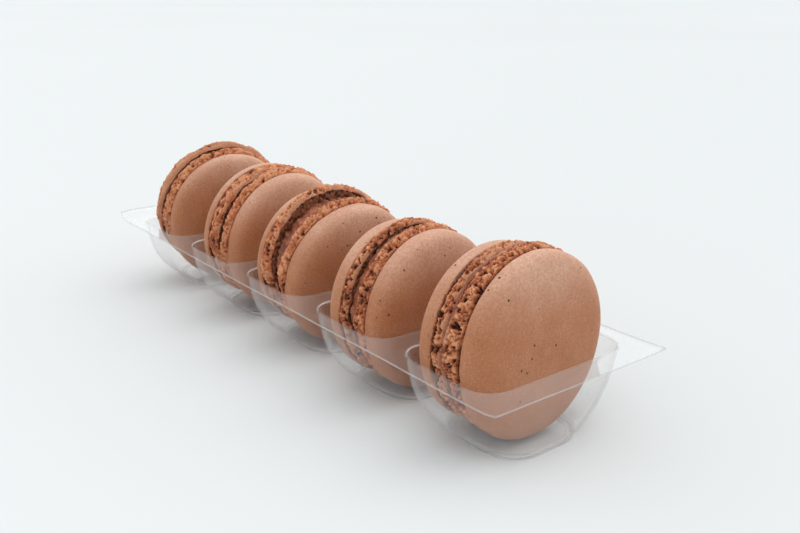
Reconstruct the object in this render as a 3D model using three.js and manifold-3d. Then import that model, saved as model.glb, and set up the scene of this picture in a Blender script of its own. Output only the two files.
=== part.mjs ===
// A clear thermoformed insert tray with five pockets, holding five chocolate macarons that
// stand on edge, one to a pocket.
// Units are millimetres. X runs along the row, Y across it and Z up. The origin lies on the
// surface that the tray stands on, under the middle of the tray.
import * as THREE from "three";
import { mergeVertices } from "three/addons/utils/BufferGeometryUtils.js";
import Module from "manifold-3d";

// Tray: a flat flange with a row of deep pockets.
const POCKETS = 5;
const PITCH = 34;
const TRAY_LENGTH = 177;
const TRAY_WIDTH = 50.6;
const TRAY_HEIGHT = 19.1;
const FLANGE_CORNER = 1;
const FILM = 0.4;

// The flange's two end flaps curl up a little, the far one more.
const CURL_START = 82.3;
const CURL_FAR = 2;
const CURL_NEAR = 0.3;
const CURL_STEPS = 5;

// Pocket outlines are rounded rectangles, here at the mouth and where the wall meets the foot.
const MOUTH = { halfX: 14, halfY: 21, corner: 5.6 };
const WALL_END_HALF_X = 12.5;
const WALL_END_CORNER = 8.4;
// The end walls follow a curve that would close at this depth, were it not cut off by the
// foot. A higher power makes the curve fuller.
const END_WALL_CLOSE = 20.17;
const END_WALL_POWER = 2.5;
const LIP = 0.4;
const FOOT_HEIGHT = 1.2;
const FOOT_STEP = 0.4;
const FOOT_BAND = 1.1;
const PANEL_RISE = 0.35;
const WALL_STEPS = 6;
const CORNER_STEPS = 4;
// How far the tool that hollows a pocket stands above the flange.
const HOLLOW_OVERRUN = 1;

// Macaron: two baked shells, each a smooth dome on a craggy foot, with a filling between them.
const RUFFLE_UNDERCUT = 1.2;
const BULGE_HELD = -0.5;
const CRAG = 0.35;
const CREVICE = 0.7;
const DOME_POWER = 4.5;
const SHOULDER_ANGLE = THREE.MathUtils.degToRad(122);
const DOME_STEPS = [0.1, 0.45, 0.68, 0.84, 0.94];
const SHELL_SEGMENTS = 30;
const FILLING_SEGMENTS = 24;
const FILLING_EDGE = 0.5;
const FILLING_HELD = 0.9;
const FILLING_WAVE = 0.25;
const CLEARANCE = 0.1;

// One entry for each macaron, from the far end of the row to the near one. x is the shift
// along its pocket and z the height of its centre. turn and lean are degrees, and splay is
// how far its rear shell leans away from the rest. gap is the distance between the rims of
// its two domes, wide its width for its height and recess how deep its filling lies.
const MACARONS = [
  {
    place: { x: 1.8, y: 0.9, z: 22, turn: -2, lean: 7.5 },
    form: { gap: 9.4, splay: 0, wide: 0.985, recess: 1.6 },
    front: shellEntry(20.3, 5.3, 3.8, 1, 0.8),
    rear: shellEntry(20, 4.5, 4.5, 2.2, 2.2),
  },
  {
    place: { x: 1.2, y: 0.75, z: 21.3, turn: 5, lean: 5.2 },
    form: { gap: 10.4, splay: 0, wide: 0.98, recess: 0.7 },
    front: shellEntry(20, 5.7, 3.2, 0.9, 0.9),
    rear: shellEntry(20, 4.6, 5.2, 0.7, 1.1),
  },
  {
    place: { x: 0.9, y: 0.1, z: 20.6, turn: 1, lean: 9.3 },
    form: { gap: 9.4, splay: 8, wide: 1, recess: 0.3 },
    front: shellEntry(19.1, 5.9, 3, 0.9, 0.8),
    rear: shellEntry(18.9, 4.2, 5, 2, 1.1),
  },
  {
    place: { x: 1, y: -1.1, z: 20, turn: 5.2, lean: 1.5 },
    form: { gap: 9.2, splay: 0, wide: 1, recess: 0.7 },
    front: shellEntry(19.1, 5.7, 3.4, 0.6, 0.9),
    rear: shellEntry(18.9, 6, 3, 1, 1),
  },
  {
    place: { x: -0.15, y: 0.1, z: 21.2, turn: 2.4, lean: 0.5 },
    form: { gap: 8.9, splay: 1, wide: 1, recess: -0.2 },
    front: shellEntry(20.3, 4.7, 4.4, 0.4, 1.2, 0.65),
    rear: shellEntry(19.8, 5.8, 4, 0.6, 1),
  },
];

// A shell has the radius and height of its dome, the height of its foot, and how far the foot
// bulges at the top and at the sides. A shoulder makes it less round near the top.
function shellEntry(radius, dome, ruffle, top, side, shoulder = 0) {
  return { radius, dome, ruffle, top, side, shoulder };
}

const wasm = await Module();
wasm.setup();

function solidFrom(geometry) {
  const bare = geometry.clone();
  bare.deleteAttribute("normal");
  bare.deleteAttribute("uv");
  const merged = mergeVertices(bare, 1e-4);
  return new wasm.Manifold(
    new wasm.Mesh({
      numProp: 3,
      vertProperties: merged.attributes.position.array,
      triVerts: new Uint32Array(merged.index.array),
    }),
  );
}

function geometryFrom(solid) {
  const mesh = solid.getMesh();
  const geometry = new THREE.BufferGeometry();
  geometry.setAttribute("position", new THREE.BufferAttribute(mesh.vertProperties, 3));
  geometry.setIndex(new THREE.BufferAttribute(mesh.triVerts, 1));
  geometry.computeVertexNormals();
  return geometry;
}

// Closed skin over rings that all have the same number of points, with an end point at each
// end. Rings turn anticlockwise when seen from the last one.
function skinOver(rings, firstPole, lastPole) {
  const count = rings[0].length;
  const points = [firstPole, ...rings.flat(), lastPole];
  const index = [];
  const last = points.length - 1;
  for (let i = 0; i < count; i++) {
    const next = (i + 1) % count;
    index.push(0, 1 + next, 1 + i);
    for (let row = 0; row + 1 < rings.length; row++) {
      const low = 1 + row * count;
      const high = low + count;
      index.push(low + i, low + next, high + i);
      index.push(low + next, high + next, high + i);
    }
    index.push(last - count + i, last - count + next, last);
  }
  const geometry = new THREE.BufferGeometry().setFromPoints(points);
  geometry.setIndex(index);
  geometry.computeVertexNormals();
  return geometry;
}

function roundedRectangle(halfX, halfY, corner, z) {
  const ring = [];
  for (let quarter = 0; quarter < 4; quarter++) {
    const signX = quarter === 0 || quarter === 3 ? 1 : -1;
    const signY = quarter < 2 ? 1 : -1;
    for (let step = 0; step <= CORNER_STEPS; step++) {
      const angle = ((quarter + step / CORNER_STEPS) * Math.PI) / 2;
      const x = signX * (halfX - corner) + corner * Math.cos(angle);
      const y = signY * (halfY - corner) + corner * Math.sin(angle);
      ring.push(new THREE.Vector3(x, y, z));
    }
  }
  return ring;
}

// Outline of the pocket's outer skin at a depth below the flange: its sides are straight
// and drafted, and its ends curve in like the macaron that it holds.
function wallAt(depth) {
  const share = depth / (TRAY_HEIGHT - FOOT_HEIGHT);
  const closed = (depth / END_WALL_CLOSE) ** END_WALL_POWER;
  return {
    halfX: THREE.MathUtils.lerp(MOUTH.halfX, WALL_END_HALF_X, share),
    halfY: MOUTH.halfY * (1 - closed) ** (1 / END_WALL_POWER),
    corner: THREE.MathUtils.lerp(MOUTH.corner, WALL_END_CORNER, share),
  };
}

// The pocket as a solid, grown inwards by inset: 0 gives the outer skin and FILM the inner.
function pocketSolid(inset, topDepth) {
  const outline = (wall, shift, depth) =>
    roundedRectangle(
      wall.halfX + shift - inset,
      wall.halfY + shift - inset,
      wall.corner + shift - inset,
      TRAY_HEIGHT - depth,
    );
  const wallEnd = TRAY_HEIGHT - FOOT_HEIGHT;
  const floor = TRAY_HEIGHT - inset;
  const mouth = wallAt(0);
  const foot = wallAt(wallEnd);
  const rings = [outline(mouth, LIP, topDepth)];
  if (topDepth < 0) rings.push(outline(mouth, LIP, 0));
  for (let step = 0; step <= WALL_STEPS; step++) {
    const depth = THREE.MathUtils.lerp(2 * LIP, wallEnd, step / WALL_STEPS);
    rings.push(outline(wallAt(depth), 0, depth));
  }
  rings.push(outline(foot, -FOOT_STEP, wallEnd + FOOT_STEP / 2));
  rings.push(outline(foot, -FOOT_STEP, floor));
  const bandInset = FOOT_STEP + FOOT_BAND - 2 * inset;
  rings.push(outline(foot, -bandInset, floor));
  rings.push(outline(foot, -bandInset - PANEL_RISE, floor - PANEL_RISE));
  rings.reverse();
  const bottomPole = new THREE.Vector3(0, 0, TRAY_HEIGHT - floor + PANEL_RISE);
  const topPole = new THREE.Vector3(0, 0, TRAY_HEIGHT - topDepth);
  return solidFrom(skinOver(rings, bottomPole, topPole));
}

// Half width of the flange at a place along it, less where its corners are rounded.
function flangeHalfY(x) {
  const intoCorner = Math.max(0, Math.abs(x) - (TRAY_LENGTH / 2 - FLANGE_CORNER));
  return TRAY_WIDTH / 2 - FLANGE_CORNER + Math.sqrt(FLANGE_CORNER ** 2 - intoCorner ** 2);
}

function curlAt(x) {
  const share = Math.max(0, Math.abs(x) - CURL_START) / (TRAY_LENGTH / 2 - CURL_START);
  return (x < 0 ? CURL_FAR : CURL_NEAR) * share ** 2;
}

function flangeSolid() {
  const end = TRAY_LENGTH / 2;
  const stations = [];
  for (let step = 0; step <= CURL_STEPS; step++) {
    stations.push(THREE.MathUtils.lerp(CURL_START, end - FLANGE_CORNER, step / CURL_STEPS));
  }
  stations.push(end - 0.3 * FLANGE_CORNER, end);
  const along = [...stations.map((x) => -x).reverse(), ...stations];
  const rings = along.map((x) => {
    const halfY = flangeHalfY(x);
    const top = TRAY_HEIGHT + curlAt(x);
    return [
      new THREE.Vector3(x, -halfY, top - FILM),
      new THREE.Vector3(x, halfY, top - FILM),
      new THREE.Vector3(x, halfY, top),
      new THREE.Vector3(x, -halfY, top),
    ];
  });
  const farPole = new THREE.Vector3(-end, 0, TRAY_HEIGHT + CURL_FAR - FILM / 2);
  const nearPole = new THREE.Vector3(end, 0, TRAY_HEIGHT + CURL_NEAR - FILM / 2);
  return solidFrom(skinOver(rings, farPole, nearPole));
}

function pocketX(pocket) {
  return (pocket - (POCKETS - 1) / 2) * PITCH;
}

function trayGeometry() {
  const outer = pocketSolid(0, FILM / 2);
  const hollow = pocketSolid(FILM, -HOLLOW_OVERRUN);
  let tray = flangeSolid();
  for (let pocket = 0; pocket < POCKETS; pocket++) {
    tray = tray.add(outer.translate([pocketX(pocket), 0, 0]));
  }
  for (let pocket = 0; pocket < POCKETS; pocket++) {
    tray = tray.subtract(hollow.translate([pocketX(pocket), 0, 0]));
  }
  return geometryFrom(tray);
}

// Uneven edge: a sum of waves round the rim, different for each seed, between -1 and 1.
function crag(angle, seed) {
  const coarse = Math.sin(3 * angle + 1.7 * seed);
  const middle = Math.sin(7 * angle + 4.1 * seed);
  const fine = Math.sin(13 * angle + 2.3 * seed);
  return (coarse + middle + fine) / 3;
}

// The foot bulges out above the flange, and is held in by the pocket below it.
function bulgeAt(angle, top, side) {
  const swell = THREE.MathUtils.lerp(side, top, Math.max(0, Math.sin(angle)));
  return THREE.MathUtils.lerp(BULGE_HELD, swell, freeAt(angle));
}

// 1 where a macaron stands free, and 0 where its pocket holds it.
function freeAt(angle) {
  return THREE.MathUtils.smoothstep(Math.sin(angle), -0.2, 0.05);
}

// A baked shell. It lies in the YZ plane with its flat inside at x = 0 and its dome towards +X.
function shellGeometry(shell, wide, seed) {
  const { radius, dome, ruffle, top, side, shoulder } = shell;
  const rimAt = (angle) => {
    return radius + shoulder * freeAt(angle) * Math.cos(angle - SHOULDER_ANGLE) ** 2;
  };
  const ring = (x, grow, roughness) => {
    const points = [];
    for (let i = 0; i < SHELL_SEGMENTS; i++) {
      const angle = (i / SHELL_SEGMENTS) * 2 * Math.PI;
      const r = rimAt(angle) + grow(angle) + roughness * CRAG * crag(angle, seed + x);
      points.push(new THREE.Vector3(x, wide * r * Math.cos(angle), r * Math.sin(angle)));
    }
    return points;
  };
  const rings = [
    ring(0, (angle) => bulgeAt(angle, top, side) - RUFFLE_UNDERCUT, 0.5),
    ring(0.1 * ruffle, (angle) => bulgeAt(angle, top, side) - 0.3, 1),
    ring(0.3 * ruffle, (angle) => bulgeAt(angle, top, side), 1),
    ring(0.62 * ruffle, (angle) => bulgeAt(angle, 0.8 * top, 0.8 * side) - 0.1, 1),
    ring(0.88 * ruffle, () => -CREVICE, 0.5),
    ring(ruffle, () => -0.2, 0),
  ];
  for (const share of DOME_STEPS) {
    const shrink = (1 - share ** DOME_POWER) ** (1 / DOME_POWER) - 1;
    rings.push(ring(ruffle + dome * share, (angle) => rimAt(angle) * shrink, 0));
  }
  const inside = new THREE.Vector3(0, 0, 0);
  const crown = new THREE.Vector3(ruffle + dome, 0, 0);
  return skinOver(rings, inside, crown);
}

// The filling is a wavy disc against the front shell. Where the rear shell leans away, the
// disc is a wedge.
function fillingGeometry(radius, thickness, form, seed) {
  const slope = Math.tan(THREE.MathUtils.degToRad(form.splay));
  const rearX = (z) => -thickness - slope * (z + radius);
  const ring = (share, recess) => {
    const points = [];
    for (let i = 0; i < FILLING_SEGMENTS; i++) {
      const angle = (i / FILLING_SEGMENTS) * 2 * Math.PI;
      const held = FILLING_HELD * (1 - freeAt(angle));
      const r = radius - recess - held + FILLING_WAVE * crag(angle, seed + share);
      const z = r * Math.sin(angle);
      points.push(new THREE.Vector3(share * rearX(z), form.wide * r * Math.cos(angle), z));
    }
    return points;
  };
  const rings = [
    ring(1, form.recess + FILLING_EDGE),
    ring(0.5, form.recess),
    ring(0, form.recess + FILLING_EDGE),
  ];
  return skinOver(rings, new THREE.Vector3(rearX(0), 0, 0), new THREE.Vector3(0, 0, 0));
}

const film = new THREE.MeshStandardMaterial({
  color: 0xe9eef0,
  roughness: 0.06,
  metalness: 0,
  transparent: true,
  opacity: 0.3,
});
const bakedShell = new THREE.MeshStandardMaterial({
  color: 0xa9765a,
  roughness: 0.6,
  metalness: 0,
});
const ganache = new THREE.MeshStandardMaterial({
  color: 0x5f3a30,
  roughness: 0.5,
  metalness: 0,
});

function namedMesh(name, geometry, material) {
  const mesh = new THREE.Mesh(geometry, material);
  mesh.name = name;
  return mesh;
}

// A macaron's own frame has its axis along X and its centre midway between the two rims.
function macaron(entry, number) {
  const { place, form, front, rear } = entry;
  const name = `macaron_${number}`;
  const seed = 10 * number;
  const frontX = form.gap / 2 - front.ruffle;
  const rearX = form.gap / 2 - rear.ruffle;
  const thickness = frontX + rearX - 2 * CLEARANCE;

  const frontShell = namedMesh(
    `${name}_front_shell`,
    shellGeometry(front, form.wide, seed),
    bakedShell,
  );
  frontShell.position.x = frontX;

  const filling = namedMesh(
    `${name}_filling`,
    fillingGeometry(front.radius, thickness, form, seed + 3),
    ganache,
  );
  filling.position.x = frontX - CLEARANCE;

  const rearShell = namedMesh(
    `${name}_rear_shell`,
    shellGeometry(rear, form.wide, seed + 5),
    bakedShell,
  );
  rearShell.position.z = front.radius;
  rearShell.rotation.z = Math.PI;
  const hinge = new THREE.Group();
  hinge.position.set(-rearX, 0, -front.radius);
  hinge.rotation.y = -THREE.MathUtils.degToRad(form.splay);
  hinge.add(rearShell);

  const group = new THREE.Group();
  group.add(frontShell, filling, hinge);
  group.position.set(pocketX(number - 1) + place.x, place.y, place.z);
  group.rotation.set(
    0,
    THREE.MathUtils.degToRad(place.lean),
    THREE.MathUtils.degToRad(place.turn),
    "ZYX",
  );
  return group;
}

const trayOfMacarons = new THREE.Group();
trayOfMacarons.add(namedMesh("tray", trayGeometry(), film));
MACARONS.forEach((entry, i) => trayOfMacarons.add(macaron(entry, i + 1)));

export default trayOfMacarons;
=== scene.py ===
# A clear insert tray with five chocolate macarons on edge, dressed for a photograph.
# Sizes are in millimetres and angles in degrees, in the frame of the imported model, unless a
# comment or a function's name says otherwise.
import math

import bpy
import numpy as np
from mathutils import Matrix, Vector


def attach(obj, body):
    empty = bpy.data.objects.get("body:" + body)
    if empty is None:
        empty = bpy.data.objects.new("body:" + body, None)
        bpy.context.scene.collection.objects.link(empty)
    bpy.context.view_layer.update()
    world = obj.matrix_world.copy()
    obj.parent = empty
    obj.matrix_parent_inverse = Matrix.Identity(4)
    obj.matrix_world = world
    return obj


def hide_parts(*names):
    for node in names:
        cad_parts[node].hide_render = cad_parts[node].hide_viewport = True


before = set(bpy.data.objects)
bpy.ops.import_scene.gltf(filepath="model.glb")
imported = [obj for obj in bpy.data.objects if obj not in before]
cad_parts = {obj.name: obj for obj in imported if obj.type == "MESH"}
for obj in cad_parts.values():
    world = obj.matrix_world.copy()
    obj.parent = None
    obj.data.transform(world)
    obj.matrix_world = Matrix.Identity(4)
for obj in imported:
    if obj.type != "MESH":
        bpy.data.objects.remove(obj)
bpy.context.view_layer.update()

MM = 0.001

# Tray, with the values of its solid.
POCKETS = 5
PITCH = 34
TRAY_LENGTH = 177
TRAY_WIDTH = 50.6
TRAY_HEIGHT = 19.1
FLANGE_CORNER = 1
FILM = 0.4
CURL_START = 82.3
CURL_FAR = 2
CURL_NEAR = 0.3
MOUTH_HALF_X = 14
MOUTH_HALF_Y = 21
MOUTH_CORNER = 5.6
WALL_END_HALF_X = 12.5
WALL_END_CORNER = 8.4
END_WALL_CLOSE = 20.17
END_WALL_POWER = 2.5
LIP = 0.4
FOOT_HEIGHT = 1.2
FOOT_STEP = 0.4
FOOT_BAND = 1.1
PANEL_RISE = 0.35
WALL_END = TRAY_HEIGHT - FOOT_HEIGHT
# How finely its film is divided.
SIDE_STEPS = 18
LIP_ROWS = 7
WALL_ROWS = 22
FLANGE_ROWS = 5
PANEL_ROWS = 4
BEND_CUT = 0.09
BEND_STEPS = (0, 0.33, 0.67, 1)
# Points of the film are the same where they round to the same place on this grid.
GRID_PER_MM = 500

# Macarons, with the values of their solids.
RUFFLE_UNDERCUT = 1.2
BULGE_HELD = -0.5
CRAG = 0.35
CREVICE = 0.7
DOME_POWER = 4.5
SHOULDER_ANGLE = math.radians(122)
FILLING_WAVE = 0.25
FILLING_HELD = 0.9
CLEARANCE = 0.1
# A macaron comes free of its pocket between these sines of the angle round it.
FREE_SINES = (-0.2, 0.05)
# Heights in a foot, as shares of it, and how strong its crags are there.
FOOT_KNOTS = np.array([0, 0.1, 0.3, 0.62, 0.88, 1])
CRAG_SHARES = np.array([0.5, 1, 1, 1, 0.5, 0])
# Where each macaron stands, from the far end of the row to the near one: x, y, z, turn, lean,
# the distance between the rims of its domes, how far its rear shell leans away, and how wide
# it is for its height.
PLACES = [
    (1.8, 0.9, 22, -2, 7.5, 9.4, 0, 0.985),
    (1.2, 0.75, 21.3, 5, 5.2, 10.4, 0, 0.98),
    (0.9, 0.1, 20.6, 1, 9.3, 9.4, 8, 1),
    (1, -1.1, 20, 5.2, 1.5, 9.2, 0, 1),
    (-0.15, 0.1, 21.2, 2.4, 0.5, 8.9, 1, 1),
]
# Front and rear shell of each: radius and height of the dome, height of the foot, how far the
# foot bulges at the top and at the sides, and how far the rim stands out at its shoulder. Then
# how deep the filling lies at the front shell, and how much deeper at the rear one.
SHELLS = [
    ((20.3, 5.3, 3.8, 1, 0.8, 0), (20, 4.5, 4.5, 2.2, 2.2, 0), 1.2, 0.6),
    ((20, 5.7, 3.2, 0.9, 0.9, 0), (20, 4.6, 5.2, 0.7, 1.1, 0), 0.7, 0.4),
    ((19.1, 5.9, 3, 0.9, 0.8, 0), (18.9, 4.2, 5, 2, 1.1, 0), 0.1, 1.6),
    ((19.1, 5.7, 3.4, 0.6, 0.9, 0), (18.9, 6, 3, 1, 1, 0), 0.6, 0.4),
    ((20.3, 4.7, 4.4, 0.4, 1.2, 0.65), (19.8, 5.8, 4, 0.6, 1, 0), -0.2, 0),
]
# How much of each macaron's foot is smooth skirt, for its front and its rear shell, how lumpy
# its filling is, and how deep the bubbles in its feet are.
SURFACES = [
    (0.05, 0.3, 1, 0.7),
    (0.02, 0.02, 1, 0.7),
    (0, 0, 2, 0.75),
    (0.06, 0.02, 1, 1.1),
    (0.12, 0.16, 0.8, 1.4),
]
# How finely they are divided: more points for the nearer ones.
RIM_POINTS = [380, 390, 440, 520, 640]
INSIDE_ROWS = 22
FOOT_ROWS = 42
DOME_ROWS = 22
FILLING_POINTS = 310
FILLING_ROWS = 18
# The rings of the inside face, as shares of its edge: the outermost, and how far they go in.
INSIDE_EDGE = 0.995
INSIDE_SPAN = 0.875
# The lumps that make a dome gently uneven: how high and how wide.
DOME_SWELL = 0.16
DOME_LUMP = 13

# Studio.
FLOOR_REACH = 9000
FLOOR_POINTS = 40
FLOOR_HEIGHT = -0.02
KEY_DIRECTION = (0.1, 0.45, 0.88)
KEY_STRENGTH = 0.6
KEY_WIDTH = 50
KEY_COLOUR = (1, 0.99, 0.97)
AIR_AXIS = (-0.55, 0.43, 0.715)
AIR_SPREAD = (-0.75, 0.75)
AIR_STRENGTHS = (0.48, 1.34)
AIR_COLOUR = (0.97, 0.99, 1, 1)
AZIMUTH = 51.91
ELEVATION = 18.15
SENSOR_WIDTH = 36
FOCAL_LENGTH = 39.03
# In metres.
CAMERA_PLACE = (0.1866, -0.1236, 0.0928)
CAMERA_CLIP = (0.01, 60)
FILM_LAYERS_SEEN = 32


def lerp(low, high, share):
    return low + (high - low) * share


def smooth(value, low, high):
    share = np.clip((value - low) / (high - low), 0, 1)
    return share * share * (3 - 2 * share)


# Repeatable noise in three dimensions.


def scramble(x, y, z, seed):
    """A number from 0 to 1 for each whole-numbered point."""
    mix = (
        x.astype(np.int64) * 374761393
        + y.astype(np.int64) * 668265263
        + z.astype(np.int64) * 2147483647
        + seed * 974634777
    ) & 0xFFFFFFFF
    mix = ((mix ^ (mix >> 13)) * 1274126177) & 0xFFFFFFFF
    mix = ((mix ^ (mix >> 15)) * 2246822519) & 0xFFFFFFFF
    return ((mix ^ (mix >> 16)) & 0xFFFFFF) / float(0xFFFFFF)


def soft_noise(points, size, seed):
    """Smooth noise from -1 to 1, whose lumps are about size across."""
    place = points / size
    cell = np.floor(place)
    part = place - cell
    part = part**3 * (part * (part * 6 - 15) + 10)
    total = 0
    for dx in (0, 1):
        for dy in (0, 1):
            for dz in (0, 1):
                weight = np.where(dx, part[:, 0], 1 - part[:, 0])
                weight = weight * np.where(dy, part[:, 1], 1 - part[:, 1])
                weight = weight * np.where(dz, part[:, 2], 1 - part[:, 2])
                value = scramble(cell[:, 0] + dx, cell[:, 1] + dy, cell[:, 2] + dz, seed)
                total = total + weight * value
    return 2 * total - 1


def cells(points, size, seed):
    """Distances to the two nearest of scattered points, in cells, and a number for the first."""
    place = points / size
    base = np.floor(place)
    nearest = np.full(len(points), 9.0)
    second = np.full(len(points), 9.0)
    tag = np.zeros(len(points))
    for dx in (-1, 0, 1):
        for dy in (-1, 0, 1):
            for dz in (-1, 0, 1):
                corner = base + (dx, dy, dz)
                x, y, z = corner[:, 0], corner[:, 1], corner[:, 2]
                jitter = np.stack([scramble(x, y, z, seed + k) for k in range(3)], axis=1)
                gap = np.linalg.norm(corner + jitter - place, axis=1)
                closer = gap < nearest
                second = np.where(closer, nearest, np.minimum(second, gap))
                nearest = np.where(closer, gap, nearest)
                tag = np.where(closer, jitter[:, 0], tag)
    return nearest, second, tag


def bubbles(points, size, keep, seed):
    """Burst bubbles with thin walls between them: 1 at the bottom of one and 0 on a wall."""
    bends = [soft_noise(points, 0.8 * size, seed + k) for k in (21, 22, 23)]
    warped = points + 0.3 * size * np.stack(bends, axis=1)
    first, second, tag = cells(warped, size, seed)
    open_share = smooth(tag, keep, keep - 0.25)
    return open_share * smooth(second - first, 0.05, 0.45) * (0.6 + 0.4 * np.mod(tag * 57.3, 1))


# Meshes.


def mesh_piece(name, points, faces, attributes=None, replaces=None):
    mesh = bpy.data.meshes.new(name)
    mesh.from_pydata((np.asarray(points) * MM).tolist(), [], faces)
    for key, values in (attributes or {}).items():
        layer = mesh.attributes.new(key, "FLOAT", "POINT")
        layer.data.foreach_set("value", np.asarray(values, np.float32))
    mesh.polygons.foreach_set("use_smooth", [True] * len(mesh.polygons))
    mesh.update()
    piece = bpy.data.objects.new(name, mesh)
    bpy.context.scene.collection.objects.link(piece)
    if replaces:
        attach(piece, "root")
        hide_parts(replaces)
    return piece


def ring_faces(rows, count, start=0, flip=False):
    """Four-sided faces between rings that lie one after another."""
    faces = []
    for row in range(rows - 1):
        low = start + row * count
        for i in range(count):
            k = (i + 1) % count
            face = (low + i, low + k, low + count + k, low + count + i)
            faces.append(face[::-1] if flip else face)
    return faces


def closed_faces(rows, count):
    """The faces between rings, and a fan at each end. The two poles follow the rings."""
    faces = ring_faces(rows, count)
    low, high = rows * count, rows * count + 1
    last = (rows - 1) * count
    for i in range(count):
        k = (i + 1) % count
        faces.append((low, k, i))
        faces.append((high, last + i, last + k))
    return faces


def turned(points, axis, degrees):
    c, s = math.cos(math.radians(degrees)), math.sin(math.radians(degrees))
    x, y, z = points[:, 0], points[:, 1], points[:, 2]
    if axis == "Y":
        return np.stack([c * x + s * z, y, -s * x + c * z], axis=1)
    return np.stack([c * x - s * y, s * x + c * y, z], axis=1)


# Macarons. The angle round one, in radians, is 0 at +Y and a quarter turn at the top.


def crag(angle, seed):
    coarse = np.sin(3 * angle + 1.7 * seed)
    middle = np.sin(7 * angle + 4.1 * seed)
    fine = np.sin(13 * angle + 2.3 * seed)
    return (coarse + middle + fine) / 3


def free_at(angle):
    """How free of its pocket a macaron is at an angle: 0 where it is held and 1 above."""
    return smooth(np.sin(angle), *FREE_SINES)


def bulge_at(angle, top, side):
    swell = lerp(side, top, np.maximum(0, np.sin(angle)))
    return lerp(BULGE_HELD, swell, free_at(angle))


def dome_profile(radius, dome):
    """Points along the dome from its rim to its crown, closer together near the rim."""
    turn = np.linspace(0, math.pi / 2, 400)
    x = dome * np.sin(turn) ** (2 / DOME_POWER)
    r = radius * np.cos(turn) ** (2 / DOME_POWER)
    length = np.concatenate([[0], np.cumsum(np.hypot(np.diff(x), np.diff(r)))])
    share = np.linspace(0, 1, DOME_ROWS + 1)[1:-1] ** 1.5
    return np.interp(share * length[-1], length, x), np.interp(share * length[-1], length, r)


def foot_rows(shell, angle, rim, seed):
    """The rows of a foot from its lower edge to the dome's rim: their heights and radii."""
    _, _, ruffle, top, side, _ = shell
    count = len(angle)
    knots = FOOT_KNOTS * ruffle
    grow = np.stack(
        [
            bulge_at(angle, top, side) - RUFFLE_UNDERCUT,
            bulge_at(angle, top, side) - 0.3,
            bulge_at(angle, top, side),
            bulge_at(angle, 0.8 * top, 0.8 * side) - 0.1,
            np.full(count, -CREVICE),
            np.full(count, -0.1),
        ]
    )
    x = np.linspace(0, 1, FOOT_ROWS) ** 0.9 * ruffle
    r = np.empty((FOOT_ROWS, count))
    for i in range(count):
        r[:, i] = np.interp(x, knots, grow[:, i])
    for _ in range(2):
        r[1:-1] = 0.25 * r[:-2] + 0.5 * r[1:-1] + 0.25 * r[2:]
    rough = np.interp(x, knots, CRAG_SHARES)
    waves = np.stack([crag(angle, seed + height) for height in x])
    return x, rim[None, :] + r + CRAG * rough[:, None] * waves


def shell_rings(shell, angle, seed):
    """The points of a plain shell, ring by ring, and how far along it each one is.

    That is -1 on the inside face, 0 to 1 up the foot and 1 to 2 over the dome.
    """
    radius, dome, ruffle, _, _, shoulder = shell
    rim = radius + shoulder * free_at(angle) * np.cos(angle - SHOULDER_ANGLE) ** 2
    foot_x, foot_r = foot_rows(shell, angle, rim, seed)
    share = INSIDE_EDGE - INSIDE_SPAN * np.linspace(1, 0, INSIDE_ROWS) ** 1.9
    inside_r = share[:, None] * foot_r[0][None, :]
    dome_x, dome_r = dome_profile(radius, dome)
    x = np.concatenate([np.zeros(INSIDE_ROWS), foot_x, ruffle + dome_x])
    x = np.repeat(x[:, None], len(angle), axis=1)
    r = np.concatenate([inside_r, foot_r, dome_r[:, None] * rim[None, :] / radius])
    points = np.stack([x, r * np.cos(angle), r * np.sin(angle)], axis=2).reshape(-1, 3)
    stages = [np.full(INSIDE_ROWS, -1.0), foot_x / ruffle, 1 + dome_x / dome]
    return points, np.repeat(np.concatenate(stages), len(angle))


def foot_crags(points, along, skirt_share, pitting, seed):
    """A smoother skirt, then burst bubbles of three sizes that open under the dome's rim.

    Gives how far the foot stands out, how much of it has burst, and its small knobs.
    """
    broad = soft_noise(points, 5.5, seed + 4)
    middle = soft_noise(points, 1.9, seed + 5)
    small = soft_noise(points, 0.95, seed + 6)
    grit = soft_noise(points, 0.45, seed + 13)
    edge = skirt_share + 0.14 * broad + 0.14 * middle
    burst = smooth(along - edge, -0.1, 0.1) * (along >= 0)
    lumps = 0.4 - 1.1 * np.abs(middle)
    knobs = 0.35 - 1.0 * np.abs(small)
    swell = 0.22 * broad + lerp(0.2 * middle, 0.42 * lumps, burst)
    swell = swell + lerp(0.1 * small, 0.36 * knobs, burst)
    swell = swell + (lerp(0.06, 0.17, burst) * grit + 0.1)
    big_pits = bubbles(points * (0.8, 1, 1), 1.9, 0.35, seed + 1) * burst
    mid_pits = bubbles(points, 0.95, 0.55, seed + 2) * lerp(0.1, 1, burst)
    small_pits = bubbles(points, 0.55, 0.75, seed + 3) * lerp(0.3, 1, burst)
    pits = 1.25 * big_pits + 1.05 * mid_pits + 0.55 * small_pits
    crevice = smooth(along, 0.76, 0.9) * (1 - smooth(along, 0.97, 1.0))
    crevice = crevice * smooth(middle + 0.6 * broad, -0.85, 0.05)
    return swell - pitting * (pits + 1.1 * crevice), burst, knobs


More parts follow.
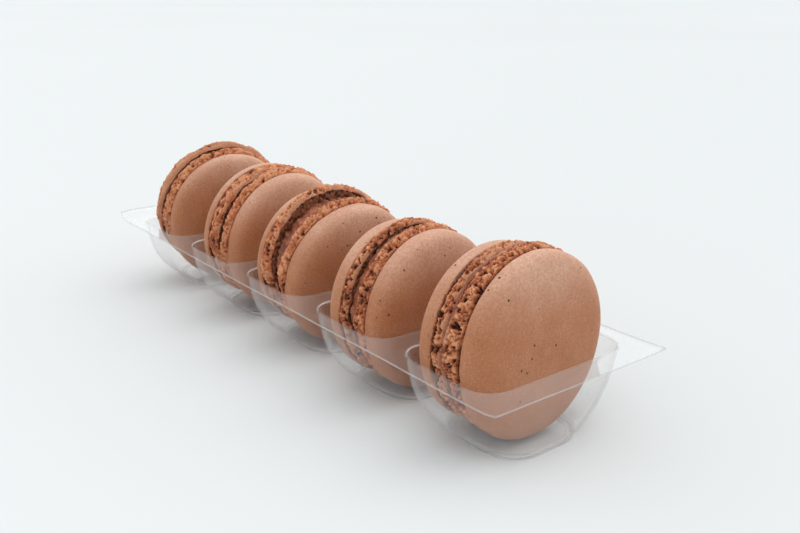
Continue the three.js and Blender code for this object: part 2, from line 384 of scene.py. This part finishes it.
def shell_piece(name, shell, seed, count, skirt_share, pitting, place):
    """A baked shell with its flat inside at x = 0 and its dome towards +X, put in place."""
    radius, dome, ruffle = shell[:3]
    noise_seed = seed * 7
    angle = np.arange(count) / count * 2 * math.pi
    points, along = shell_rings(shell, angle, seed)
    rows = len(points) // count
    out_y, out_z = np.tile(np.cos(angle), rows), np.tile(np.sin(angle), rows)
    radial = np.stack([0 * out_y, out_y, out_z], axis=1)
    from_centre = np.hypot(points[:, 1], points[:, 2]) / radius

    # The foot, and the dome's soft lip over it.
    relief, burst, knobs = foot_crags(points, along, skirt_share, pitting, noise_seed)
    on_foot = smooth(along, -0.02, 0.05) * (1 - smooth(along, 0.96, 1.0))
    lip = smooth(along, 0.97, 1.02) * (1 - smooth(along, 1.02, 1.25))
    shift = on_foot * relief + lip * 0.12 * soft_noise(points, 2.6, noise_seed + 10)
    ledge = on_foot * 0.22 * soft_noise(points, 1.9, noise_seed + 11) * smooth(along, 0.05, 0.4)

    # The dome, and the crust of the inside face.
    on_dome = smooth(along, 1.0, 1.12)
    gentle = soft_noise(points, DOME_LUMP, noise_seed + 8)
    ripple = soft_noise(points, 4.2, noise_seed + 9)
    pores = bubbles(points, 0.9, 0.7, noise_seed + 14)
    crust = smooth(from_centre, 0.6, 0.85) * (0.4 * knobs - 0.7 * pores)
    crust = 0.16 * soft_noise(points, 2.4, noise_seed + 12) + crust
    under = (along < 0) * np.minimum(crust, 0.25)
    points = points + radial * shift[:, None]
    points[:, 0] += on_dome * (DOME_SWELL * gentle + 0.045 * ripple) + ledge - under
    crown = np.array([[ruffle + dome, 0.0, 0.0]])
    crown[0, 0] += DOME_SWELL * soft_noise(crown, DOME_LUMP, noise_seed + 8)[0]

    # What the material needs, with a value for each pole at the end.
    foot = (1 - smooth(along, 0.97, 1.03)) * (along >= 0)
    # The height of the relief, which the material uses for painted shade in the pits, crevice and
    # pores and for painted light on the crests.
    height = np.where(along < 0, smooth(crust, -0.55, 0.2), smooth(relief, -1.0, 0.45))
    # Painted light and shade: each dome's colour is paler towards its top and darker and warmer
    # towards its lower part, with a little unevenness.
    rise = np.sin(np.tile(angle, rows)) * np.hypot(points[:, 1], points[:, 2]) / radius
    painted_shade = smooth(0.12 * gentle - rise, -1.03, -0.2)
    looks = {
        "foot": np.append(foot, [0, 0]),
        "height": np.append(height, [0.5, 1]),
        "inside": np.append(along < 0, [1, 0]),
        "skirt": np.append(foot * (1 - burst), [0, 0]),
        "painted_shade": np.append(painted_shade, [0.6, 0.6]),
    }
    points = place(np.concatenate([points, [[0.0, 0, 0]], crown]))
    return mesh_piece(name, points, closed_faces(rows, count), looks, name)


def filling_piece(name, radius, thickness, recess, splay, lumpy, seed, place):
    """A wavy disc of ganache, with its front at x = 0."""
    front_depth, slant = recess
    slope = math.tan(math.radians(splay))
    angle = np.arange(FILLING_POINTS) / FILLING_POINTS * 2 * math.pi
    held = 1 - free_at(angle)

    def ring(share, depth, lump):
        r = radius - depth - FILLING_HELD * held + FILLING_WAVE * crag(angle, seed + share)
        flat = np.stack([0 * r + thickness * share, r * np.cos(angle), r * np.sin(angle)], axis=1)
        r = r + lump * lumpy * 0.3 * soft_noise(flat, 2.4, seed)
        r = r + lump * lumpy * 0.5 * (0.3 - np.abs(soft_noise(flat, 1.3, seed + 1)))
        r = r + lump * lumpy * 0.22 * soft_noise(flat, 0.7, seed + 2)
        y = r * np.cos(angle)
        z = r * np.sin(angle)
        x = share * (-thickness - slope * (z + radius))
        return np.stack([x, y, z], axis=1)

    rings = []
    for inner in (0.2, 0.6, 0.9):
        rings.append(ring(1, front_depth + slant + 0.5, 0) * (1, inner, inner))
    for k in range(FILLING_ROWS + 1):
        share = 1 - k / FILLING_ROWS
        bow = min(1, 6 * share * (1 - share))
        depth = front_depth + slant * share + 0.5 * (1 - bow)
        rings.append(ring(share, depth, 0.35 + 0.65 * bow))
    for inner in (0.9, 0.6, 0.2):
        rings.append(ring(0, front_depth + 0.5, 0) * (1, inner, inner))
    centre_back = [-thickness - slope * radius, 0, 0]
    points = place(np.concatenate([*rings, [centre_back, [0, 0, 0]]]))
    faces = closed_faces(len(rings), FILLING_POINTS)
    return mesh_piece(name, points, faces, {}, name)


def make_macaron(number):
    """The front shell, filling and rear shell of a macaron."""
    x, y, z, turn, lean, gap, splay, wide = PLACES[number - 1]
    front_shell, rear_shell, depth, slant = SHELLS[number - 1]
    front_skirt, rear_skirt, lumpy, pitting = SURFACES[number - 1]
    count = RIM_POINTS[number - 1]
    radius = front_shell[0]
    front_x = gap / 2 - front_shell[2]
    rear_x = gap / 2 - rear_shell[2]
    seed = 10 * number
    centre = ((number - 1 - (POCKETS - 1) / 2) * PITCH + x, y, z)

    def stand(points):
        return turned(turned(points * (1, wide, 1), "Y", lean), "Z", turn) + centre

    def front(points):
        return stand(points + (front_x, 0, 0))

    def middle(points):
        return stand(points + (front_x - CLEARANCE, 0, 0))

    def rear(points):
        hinged = turned(turned(points, "Z", 180) + (0, 0, radius), "Y", -splay)
        return stand(hinged + (-rear_x, 0, -radius))

    name = f"macaron_{number}"
    front_name, filling_name, rear_name = (
        f"{name}_{part}" for part in ("front_shell", "filling", "rear_shell")
    )
    thickness = front_x + rear_x - 2 * CLEARANCE
    recess = (depth, slant)
    return [
        shell_piece(front_name, front_shell, seed, count, front_skirt, pitting, front),
        filling_piece(filling_name, radius, thickness, recess, splay, lumpy, seed + 3, middle),
        shell_piece(rear_name, rear_shell, seed + 5, count, rear_skirt, pitting, rear),
    ]


# Tray. A cell is one pocket and the part of the flange round it.


def curl_at(x):
    share = np.maximum(0, np.abs(x) - CURL_START) / (TRAY_LENGTH / 2 - CURL_START)
    return np.where(x < 0, CURL_FAR, CURL_NEAR) * share**2


def rounded_ring(half_x, half_y, corner):
    """A rounded rectangle that starts in the middle of a corner and has four equal counts."""
    arc = SIDE_STEPS // 4
    straight = SIDE_STEPS - 2 * arc
    corners = [(1, -1, -45), (1, 1, 45), (-1, 1, 135), (-1, -1, 225)]

    def arc_point(sign_x, sign_y, degrees):
        turn = math.radians(degrees)
        x = sign_x * (half_x - corner) + corner * math.cos(turn)
        y = sign_y * (half_y - corner) + corner * math.sin(turn)
        return np.array([x, y])

    points = []
    for k in range(4):
        here, there = corners[k][:2], corners[(k + 1) % 4][:2]
        start = corners[k][2]
        side = start + 45
        points += [arc_point(*here, start + 45 * step / arc) for step in range(arc)]
        first, last = arc_point(*here, side), arc_point(*there, side)
        points += [lerp(first, last, step / straight) for step in range(straight)]
        points += [arc_point(*there, side + 45 * step / arc) for step in range(arc)]
    return np.array(points)


def wall_at(depth):
    """Half the length and width of a pocket at a depth, and the radius of its corners."""
    share = depth / WALL_END
    half_x = lerp(MOUTH_HALF_X, WALL_END_HALF_X, share)
    closed = (depth / END_WALL_CLOSE) ** END_WALL_POWER
    half_y = MOUTH_HALF_Y * (1 - closed) ** (1 / END_WALL_POWER)
    return half_x, half_y, lerp(MOUTH_CORNER, WALL_END_CORNER, share)


def level_ring(wall, shift, depth):
    """A ring at a depth under the flange's top, outside a wall by the shift."""
    half_x, half_y, corner = wall
    ring = rounded_ring(half_x + shift, half_y + shift, corner + shift)
    return np.column_stack([ring, np.full(len(ring), TRAY_HEIGHT - depth)])


def softened(knots, reach):
    """The same path with each bend cut into a short curve."""
    path = [knots[0]]
    for before, bend, after in zip(knots, knots[1:], knots[2:]):
        before, bend, after = (np.array(p, float) for p in (before, bend, after))
        back = (before - bend) / np.linalg.norm(before - bend)
        ahead = (after - bend) / np.linalg.norm(after - bend)
        for t in BEND_STEPS:
            path.append(tuple(bend + reach * ((1 - t) ** 2 * back + t**2 * ahead)))
    path.append(knots[-1])
    return path


def pocket_skin(skin):
    """Rings of one skin of a pocket, from the lip to the middle of its floor."""
    rings = []
    for step in range(LIP_ROWS):
        turn = math.radians(90 / (LIP_ROWS - 1) * step)
        shift = LIP - (LIP + skin) * math.sin(turn)
        depth = 2 * LIP - (LIP + skin) * math.cos(turn)
        rings.append(level_ring(wall_at(0), shift, depth))
    for row in range(1, WALL_ROWS + 1):
        depth = lerp(2 * LIP, WALL_END - 0.25, row / WALL_ROWS)
        rings.append(level_ring(wall_at(depth), -skin, depth))
    floor = TRAY_HEIGHT - skin
    knots = [
        (-skin, WALL_END - 0.2),
        (-skin, WALL_END),
        (-FOOT_STEP - skin, WALL_END + FOOT_STEP / 2),
        (-FOOT_STEP - skin, floor),
        (-FOOT_STEP - FOOT_BAND + skin, floor),
        (-FOOT_STEP - FOOT_BAND + skin - PANEL_RISE, floor - PANEL_RISE),
        (-FOOT_STEP - FOOT_BAND + skin - PANEL_RISE - 0.5, floor - PANEL_RISE),
    ]
    for shift, depth in softened(knots, BEND_CUT):
        rings.append(level_ring(wall_at(WALL_END), shift, depth))
    last = rings[-1]
    for row in range(1, PANEL_ROWS + 1):
        shrink = 1 - row / (PANEL_ROWS + 0.5)
        rings.append(last * (shrink, shrink, 1))
    return rings


def cell_edge(low_x, high_x):
    """The edge of a cell, with as many points as a ring."""
    half = TRAY_WIDTH / 2
    corners = [(high_x, -half), (high_x, half), (low_x, half), (low_x, -half)]
    points = []
    for k in range(4):
        first, last = np.array(corners[k]), np.array(corners[(k + 1) % 4])
        for step in range(SIDE_STEPS):
            share = step / SIDE_STEPS
            share = lerp(share, share * share * (3 - 2 * share), -0.35)
            points.append(lerp(first, last, share))
    return np.array(points)


def ring_bends():
    """How sharply the film is bent at each ring of a cell, from the flange to the floor."""
    lip = [0, 0, 0.5, 1, 0.5, 0, 0]
    foot = [0] + 8 * [0.5] + 8 * [1] + 4 * [0.4] + [0]
    return FLANGE_ROWS * [0] + lip + WALL_ROWS * [0] + foot + PANEL_ROWS * [0]


def film_skins():
    """Both skins of all cells: points, faces, and how sharply the film is bent at each point."""
    points, faces, bends = [], [], []
    size = 4 * SIDE_STEPS
    start = 0
    for skin, under in ((0, True), (FILM, False)):
        rings = pocket_skin(skin)
        top = TRAY_HEIGHT - (FILM if under else 0)
        for pocket in range(POCKETS):
            centre = (pocket - (POCKETS - 1) / 2) * PITCH
            low = -PITCH / 2 if pocket > 0 else -TRAY_LENGTH / 2 - centre
            high = PITCH / 2 if pocket < POCKETS - 1 else TRAY_LENGTH / 2 - centre
            edge = np.column_stack([cell_edge(low, high), np.full(size, top)])
            cell = [lerp(edge, rings[0], row / FLANGE_ROWS) for row in range(FLANGE_ROWS)]
            cell += rings
            points.append(np.concatenate(cell) + (centre, 0, 0))
            points.append(np.array([[centre, 0, rings[-1][0, 2]]]))
            bends += [np.repeat(ring_bends(), size), [0]]
            faces += ring_faces(len(cell), size, start, flip=under)
            pole = start + len(cell) * size
            last = pole - size
            for i in range(size):
                face = (last + i, last + (i + 1) % size, pole)
                faces.append(face[::-1] if under else face)
            start = pole + 1
    return np.concatenate(points), faces, np.concatenate(bends)


def shape_flange(points):
    """Rounds the flange's corners and curls its flaps."""
    end_x, end_y = TRAY_LENGTH / 2 - FLANGE_CORNER, TRAY_WIDTH / 2 - FLANGE_CORNER
    over = np.stack([np.abs(points[:, 0]) - end_x, np.abs(points[:, 1]) - end_y], axis=1)
    reach = np.hypot(over[:, 0], over[:, 1])
    cornered = (over[:, 0] > 0) & (over[:, 1] > 0) & (reach > FLANGE_CORNER)
    scale = np.where(cornered, FLANGE_CORNER / np.maximum(reach, 1e-9), 1)
    for axis, end in ((0, end_x), (1, end_y)):
        pulled = np.sign(points[:, axis]) * (end + over[:, axis] * scale)
        points[:, axis] = np.where(cornered, pulled, points[:, axis])
    points[:, 2] += curl_at(points[:, 0]) * (points[:, 2] > TRAY_HEIGHT - 2)


def grid_keys(points):
    """Whole numbers that are the same for points in one place."""
    return np.round(points * GRID_PER_MM).astype(np.int64)


def rim_faces(points, faces):
    """Faces that join the two skins along the flange's outer edge."""
    edges = {edge: None for face in faces for edge in zip(face, face[1:] + face[:1])}
    keys = grid_keys(points).tolist()
    lookup = {tuple(key): i for i, key in enumerate(keys)}
    drop = int(round(FILM * GRID_PER_MM))

    def below(i):
        x, y, z = keys[i]
        for slip in (0, -1, 1):
            if (x, y, z - drop + slip) in lookup:
                return lookup[(x, y, z - drop + slip)]
        return None

    found = []
    for a, b in edges:
        if (b, a) not in edges and None not in (below(a), below(b)):
            found.append((b, a, below(a), below(b)))
    return found


def tray_piece():
    points, faces, bend = film_skins()
    shape_flange(points)

    # Shared points along the cells' edges become one.
    _, first, back = np.unique(grid_keys(points), axis=0, return_index=True, return_inverse=True)
    back = back.reshape(-1)
    points = points[first]
    bend = bend[first]
    faces = [tuple(int(back[i]) for i in face) for face in faces]

    # The two skins join at the rim, in faces with points of their own, because it shines.
    cut_faces = rim_faces(points, faces)
    base = len(points)
    rim = sorted({i for face in cut_faces for i in face})
    renumber = {old: base + k for k, old in enumerate(rim)}
    points = np.concatenate([points, points[rim]])
    faces += [tuple(renumber[i] for i in face) for face in cut_faces]
    cut = np.concatenate([np.zeros(base), np.ones(len(rim))])
    bend = np.concatenate([bend, np.zeros(len(rim))])

    # Film is never quite flat.
    wave = soft_noise(points, 17, 3) * 0.16 + soft_noise(points, 6, 4) * 0.035
    on_flange = smooth(points[:, 2], TRAY_HEIGHT - 1.5, TRAY_HEIGHT - 0.6)
    points[:, 2] += on_flange * wave
    return mesh_piece("tray_film", points, faces, {"cut": cut, "bend": bend}, "tray")


# Materials.


def linear(red, green, blue):
    """A colour for a shader from the numbers 0 to 255 of a screen colour."""

    def one(value):
        value /= 255
        return value / 12.92 if value <= 0.04045 else ((value + 0.055) / 1.055) ** 2.4

    return (one(red), one(green), one(blue), 1)


# The dome's colour with painted light, for its top, and with painted shade, for its lower part;
# each has two tones that vary at random.
DOME_PAINTED_LIGHT = (linear(202, 152, 124), linear(212, 166, 140))
DOME_PAINTED_SHADE = (linear(174, 108, 66), linear(184, 122, 84))
DOME_BLOTCH = linear(150, 92, 60)
DOME_GRAIN = linear(218, 172, 142)
FRECKLE = linear(112, 60, 36)
PIN_HOLE_PAINTED_SHADE = linear(66, 30, 16)
# Colours of the foot: near-black painted shade for its pits and crevice, its own baked colour,
# and painted light for its crests.
FOOT_PAINTED_SHADE = linear(36, 11, 5)
FOOT_MIDDLE = linear(190, 106, 64)
FOOT_PAINTED_LIGHT = linear(228, 162, 118)
FOOT_CRUMB = linear(160, 90, 58)
FOOT_SKIRT = linear(192, 138, 108)
FOOT_SPONGE = linear(126, 62, 38)
INSIDE_FACE = (linear(118, 62, 36), linear(160, 98, 62))
INSIDE_PAINTED_SHADE = linear(54, 24, 14)
INSIDE_SPONGE = linear(84, 44, 28)
SHELL_SHEEN = linear(255, 214, 190)
GANACHE = (linear(122, 61, 38), linear(166, 94, 62))
GANACHE_DARK = linear(74, 34, 22)
FILM_HAZE_AND_HIGHLIGHT = (0.93, 0.95, 0.96, 1)
FILM_CUT_HAZE = (0.64, 0.66, 0.665, 1)
FILM_CLEAR = (0.994, 0.996, 0.996, 1)
FILM_AT_GRAZING = (0.84, 0.86, 0.86, 1)
FLOOR_SHADES = ((0.725, 0.743, 0.747, 1), (0.755, 0.773, 0.777, 1))


class Nodes:
    """A material's nodes, with short ways to make and join them."""

    def __init__(self, name):
        self.material = bpy.data.materials.new(name)
        self.material.use_nodes = True
        self.tree = self.material.node_tree
        self.tree.nodes.clear()
        self.output = self.tree.nodes.new("ShaderNodeOutputMaterial")
        self.coordinates = self.tree.nodes.new("ShaderNodeTexCoord").outputs["Object"]

    def put(self, socket, value):
        if isinstance(value, bpy.types.NodeSocket):
            self.tree.links.new(value, socket)
        else:
            socket.default_value = value

    def node(self, kind, **values):
        made = self.tree.nodes.new(kind)
        for key, value in values.items():
            self.put(made.inputs[key.replace("_", " ")], value)
        return made

    def attribute(self, name):
        made = self.tree.nodes.new("ShaderNodeAttribute")
        made.attribute_name = name
        return made.outputs["Fac"]

    def math(self, operation, a, b):
        made = self.tree.nodes.new("ShaderNodeMath")
        made.operation = operation
        self.put(made.inputs[0], a)
        self.put(made.inputs[1], b)
        return made.outputs[0]

    def add(self, a, b):
        return self.math("ADD", a, b)

    def times(self, a, b):
        return self.math("MULTIPLY", a, b)

    def ramp(self, value, low, high, to_low=0.0, to_high=1.0):
        made = self.tree.nodes.new("ShaderNodeMapRange")
        made.interpolation_type = "SMOOTHSTEP"
        for key, entry in enumerate((value, low, high, to_low, to_high)):
            self.put(made.inputs[key], entry)
        return made.outputs[0]

    def noise(self, size, detail=2.0, roughness=0.5):
        made = self.node(
            "ShaderNodeTexNoise", Scale=1 / (size * MM), Detail=detail, Roughness=roughness
        )
        self.put(made.inputs["Vector"], self.coordinates)
        return made.outputs["Fac"]

    def spots(self, size, kind):
        made = self.node("ShaderNodeTexVoronoi", Scale=1 / (size * MM))
        self.put(made.inputs["Vector"], self.coordinates)
        return made.outputs[kind]

    def mix(self, share, a, b):
        made = self.tree.nodes.new("ShaderNodeMix")
        made.data_type = "RGBA"
        self.put(made.inputs[0], share)
        self.put(made.inputs[6], a)
        self.put(made.inputs[7], b)
        return made.outputs[2]

    def bump(self, height, strength, distance):
        made = self.node(
            "ShaderNodeBump", Height=height, Strength=strength, Distance=distance * MM
        )
        return made.outputs["Normal"]

    def blend(self, share, a, b):
        made = self.node("ShaderNodeMixShader", Fac=share)
        self.put(made.inputs[1], a.outputs[0])
        self.put(made.inputs[2], b.outputs[0])
        return made

    def finish(self, shader):
        self.put(self.output.inputs["Surface"], shader.outputs[0])
        return self.material


def sparse_dots(n, size, keep, reach):
    """Round dots, one in some of the cells of a scattered pattern: 1 in a dot and 0 outside."""
    cell = n.spots(size, "Distance")
    tag = n.node("ShaderNodeSeparateColor", Color=n.spots(size, "Color")).outputs[0]
    chosen = n.math("LESS_THAN", tag, keep)
    dot = n.ramp(cell, 0.55 * reach / size, reach / size, 1.0, 0.0)
    return n.times(chosen, dot)


def baked_material():
    n = Nodes("baked_shell_look")
    foot = n.attribute("foot")
    height = n.attribute("height")
    inside = n.attribute("inside")
    skirt = n.attribute("skirt")
    painted_shade = n.attribute("painted_shade")

    broad = n.noise(9, 3.0, 0.55)
    fine = n.noise(0.55, 3.0, 0.6)
    grain = n.noise(0.25, 2.0, 0.6)
    drift = n.ramp(broad, 0.35, 0.68)
    # Painted shade: the dome darkens and warms towards its lower part, and painted light makes it
    # paler at its top.
    dome = n.mix(painted_shade, n.mix(drift, *DOME_PAINTED_LIGHT), n.mix(drift, *DOME_PAINTED_SHADE))
    dome = n.mix(n.ramp(fine, 0.3, 0.7, 0.0, 0.4), dome, DOME_BLOTCH)
    dome = n.mix(n.ramp(grain, 0.55, 0.72, 0.0, 0.45), dome, DOME_GRAIN)
    freckles = n.ramp(n.noise(0.5, 1.0, 0.4), 0.64, 0.72)
    freckles = n.times(freckles, n.ramp(n.noise(6.5, 1.0), 0.38, 0.6))
    dome = n.mix(n.times(freckles, 0.35), dome, FRECKLE)
    large_holes, small_holes = sparse_dots(n, 3.2, 0.3, 0.36), sparse_dots(n, 2.1, 0.28, 0.23)
    holes = n.math("MAXIMUM", large_holes, small_holes)
    # Painted shade: a dark colour in the small holes of the dome, for the shade inside them.
    dome = n.mix(holes, dome, PIN_HOLE_PAINTED_SHADE)

    crumb = n.noise(1.1, 4.0, 0.65)
    sponge = n.noise(0.3, 2.0, 0.6)
    # Painted shade in the foot's pits and crevice, and painted light on its crests, by the height
    # of its relief.
    baked = n.mix(n.ramp(height, 0.12, 0.58), FOOT_PAINTED_SHADE, FOOT_MIDDLE)
    baked = n.mix(n.ramp(height, 0.6, 1.0), baked, FOOT_PAINTED_LIGHT)
    baked = n.mix(n.ramp(crumb, 0.4, 0.7, 0.0, 0.4), baked, FOOT_CRUMB)
    baked = n.mix(n.times(skirt, 0.7), baked, FOOT_SKIRT)
    baked = n.mix(n.ramp(sponge, 0.54, 0.7, 0.0, 0.4), baked, FOOT_SPONGE)
    under = n.mix(n.ramp(crumb, 0.35, 0.7), *INSIDE_FACE)
    # Painted shade in the pores and low places of the inside face.
    under = n.mix(n.ramp(height, 0.1, 0.8, 0.85, 0.0), under, INSIDE_PAINTED_SHADE)
    under = n.mix(n.ramp(sponge, 0.52, 0.66, 0.0, 0.5), under, INSIDE_SPONGE)
    colour = n.mix(inside, n.mix(foot, dome, baked), under)

    relief = n.add(n.times(fine, 0.55), n.times(grain, 0.5))
    relief = n.math("SUBTRACT", relief, n.times(holes, 0.9))
    crumbly = n.times(n.math("MAXIMUM", foot, inside), n.add(crumb, sponge))
    relief = n.add(relief, n.times(crumbly, 2.0))
    skin = n.node(
        "ShaderNodeBsdfPrincipled",
        Base_Color=colour,
        Roughness=n.add(n.ramp(fine, 0.3, 0.7, 0.5, 0.62), n.times(foot, 0.2)),
        Normal=n.bump(relief, 0.6, 0.14),
        Specular_IOR_Level=0.4,
        Sheen_Weight=0.1,
        Sheen_Roughness=0.5,
        Sheen_Tint=SHELL_SHEEN,
    )
    return n.finish(skin)


def ganache_material():
    n = Nodes("ganache_look")
    broad = n.noise(2.2, 3.0, 0.6)
    fine = n.noise(0.35, 2.0, 0.6)
    colour = n.mix(n.ramp(broad, 0.35, 0.7), *GANACHE)
    colour = n.mix(n.ramp(fine, 0.52, 0.68, 0.0, 0.6), colour, GANACHE_DARK)
    cream = n.node(
        "ShaderNodeBsdfPrincipled",
        Base_Color=colour,
        Roughness=n.ramp(fine, 0.3, 0.7, 0.4, 0.55),
        Normal=n.bump(n.add(n.times(broad, 1.2), n.times(fine, 0.35)), 0.8, 0.3),
        Specular_IOR_Level=0.4,
    )
    return n.finish(cream)


def film_material():
    """Film that is clear face on, mirrors at a grazing angle, and is milky where cut; a whitish
    haze where it is bent and at a grazing angle is a painted highlight.
    """
    n = Nodes("clear_film_look")
    cut = n.attribute("cut")
    bend = n.attribute("bend")
    grazing = n.node("ShaderNodeLayerWeight", Blend=0.5).outputs["Facing"]
    mirror = n.add(n.times(n.math("POWER", grazing, 5.0), 0.96), 0.04)
    scuff = n.noise(1.1, 3.0, 0.6)
    tone = n.mix(n.math("POWER", grazing, 12.0), FILM_CLEAR, FILM_AT_GRAZING)
    clear = n.node("ShaderNodeBsdfTransparent", Color=tone)
    gloss = n.node(
        "ShaderNodeBsdfGlossy",
        Roughness=n.ramp(scuff, 0.35, 0.75, 0.05, 0.11),
        Normal=n.bump(n.noise(14, 1.0), 0.5, 0.3),
    )
    haze_and_painted_highlight = n.node("ShaderNodeBsdfDiffuse", Color=n.mix(cut, FILM_HAZE_AND_HIGHLIGHT, FILM_CUT_HAZE))
    share = n.add(n.times(cut, 0.36), n.ramp(scuff, 0.3, 0.8, 0.02, 0.045))
    # Painted highlight: whitish haze along the bends and, at a grazing angle, along the outlines.
    share = n.add(share, n.times(bend, 0.28))
    share = n.add(share, n.times(n.math("POWER", grazing, 14.0), 0.5))
    return n.finish(n.blend(share, n.blend(mirror, clear, gloss), haze_and_painted_highlight))


def floor_material():
    n = Nodes("pale_floor_look")
    colour = n.mix(n.noise(900, 1.0), *FLOOR_SHADES)
    return n.finish(n.node("ShaderNodeBsdfDiffuse", Color=colour, Roughness=0.6))


# Studio.


def floor_piece():
    """A wide floor whose faces are smaller near the middle."""
    spread = np.linspace(-1, 1, FLOOR_POINTS)
    spread = np.sign(spread) * np.abs(spread) ** 3 * FLOOR_REACH
    x, y = np.meshgrid(spread, spread)
    points = np.stack([x.ravel(), y.ravel(), np.full(x.size, FLOOR_HEIGHT)], axis=1)
    faces = []
    for row in range(FLOOR_POINTS - 1):
        for k in range(FLOOR_POINTS - 1):
            low = row * FLOOR_POINTS + k
            faces.append((low, low + 1, low + FLOOR_POINTS + 1, low + FLOOR_POINTS))
    floor = mesh_piece("studio_floor", points, faces)
    floor.data.materials.append(floor_material())


def soft_light(name, position, strength, width, colour):
    """A far, wide light that shines from a direction."""
    light = bpy.data.lights.new(name, "SUN")
    light.energy = strength
    light.angle = math.radians(width)
    light.color = colour
    lamp = bpy.data.objects.new(name, light)
    lamp.location = position
    lamp.rotation_mode = "QUATERNION"
    lamp.rotation_quaternion = Vector(position).to_track_quat("Z", "Y")
    bpy.context.scene.collection.objects.link(lamp)


def studio_air():
    """A pale room that is brighter above and behind the tray than on the camera's side."""
    world = bpy.data.worlds.new("studio_air")
    world.use_nodes = True
    tree = world.node_tree
    place = tree.nodes.new("ShaderNodeTexCoord").outputs["Generated"]
    along = tree.nodes.new("ShaderNodeVectorMath")
    along.operation = "DOT_PRODUCT"
    tree.links.new(place, along.inputs[0])
    along.inputs[1].default_value = AIR_AXIS
    bright = tree.nodes.new("ShaderNodeMapRange")
    bright.interpolation_type = "SMOOTHSTEP"
    tree.links.new(along.outputs["Value"], bright.inputs[0])
    for socket, value in zip(bright.inputs[1:5], (*AIR_SPREAD, *AIR_STRENGTHS)):
        socket.default_value = value
    air = tree.nodes["Background"]
    air.inputs["Color"].default_value = AIR_COLOUR
    tree.links.new(bright.outputs[0], air.inputs["Strength"])
    return world


def photo_camera():
    """A camera that sees the tray from where the photograph was taken."""
    turn, rise = math.radians(AZIMUTH), math.radians(ELEVATION)
    back = Vector(
        (math.sin(turn) * math.cos(rise), -math.cos(turn) * math.cos(rise), math.sin(rise))
    )
    lens = bpy.data.cameras.new("photo_camera")
    lens.sensor_width = SENSOR_WIDTH
    lens.lens = FOCAL_LENGTH
    lens.clip_start, lens.clip_end = CAMERA_CLIP
    camera = bpy.data.objects.new("photo_camera", lens)
    camera.location = CAMERA_PLACE
    camera.rotation_mode = "QUATERNION"
    camera.rotation_quaternion = (-back).to_track_quat("-Z", "Y")
    bpy.context.scene.collection.objects.link(camera)
    return camera


# The scene.

baked = baked_material()
ganache = ganache_material()
for number in range(1, POCKETS + 1):
    front, filling, rear = make_macaron(number)
    front.data.materials.append(baked)
    filling.data.materials.append(ganache)
    rear.data.materials.append(baked)
tray = tray_piece()
tray.data.materials.append(film_material())

floor_piece()
soft_light("soft_key", KEY_DIRECTION, KEY_STRENGTH, KEY_WIDTH, KEY_COLOUR)
bpy.context.scene.world = studio_air()
bpy.context.scene.view_settings.view_transform = "Standard"
bpy.context.scene.cycles.transparent_max_bounces = FILM_LAYERS_SEEN
bpy.context.scene.camera = photo_camera()
